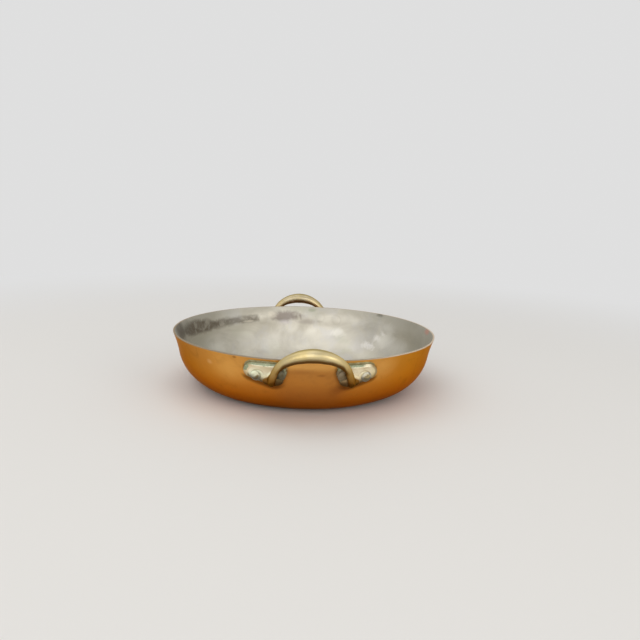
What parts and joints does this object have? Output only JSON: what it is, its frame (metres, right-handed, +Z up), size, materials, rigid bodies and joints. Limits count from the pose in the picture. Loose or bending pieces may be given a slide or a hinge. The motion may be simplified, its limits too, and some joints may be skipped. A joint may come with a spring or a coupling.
{
  "type": "gratin pan",
  "caption": "Round shallow copper gratin pan with a tinned inside, a flared wall and two cast brass loop handles riveted on opposite sides.",
  "frame": {"origin": "middle of the flat base, on the surface that the pan stands on", "axes": "+Z up; the two handles lie on the Y axis, the front one at -Y; +X to the right of someone who looks at the front handle"},
  "size_m": [0.26, 0.2996, 0.0685],
  "materials": {
    "copper": "aged copper, satin, warm orange-brown, darker towards the base",
    "tin": "hand-wiped tin, dull grey, stained and scoured",
    "brass": "cast brass, worn bright on top of the bar, green in the corners of the feet",
    "rivet_metal": "hammered copper rivets, dulled, green round the heads"
  },
  "bodies": {
    "root": {"pan_body": "copper", "tin_lining": "tin", "handle_front": "brass", "handle_back": "brass", "rivet_front_left_outer": "rivet_metal", "rivet_front_left_inner": "rivet_metal", "rivet_front_right_inner": "rivet_metal", "rivet_front_right_outer": "rivet_metal", "rivet_back_left_outer": "rivet_metal", "rivet_back_left_inner": "rivet_metal", "rivet_back_right_inner": "rivet_metal", "rivet_back_right_outer": "rivet_metal"}
  },
  "joints": []
}
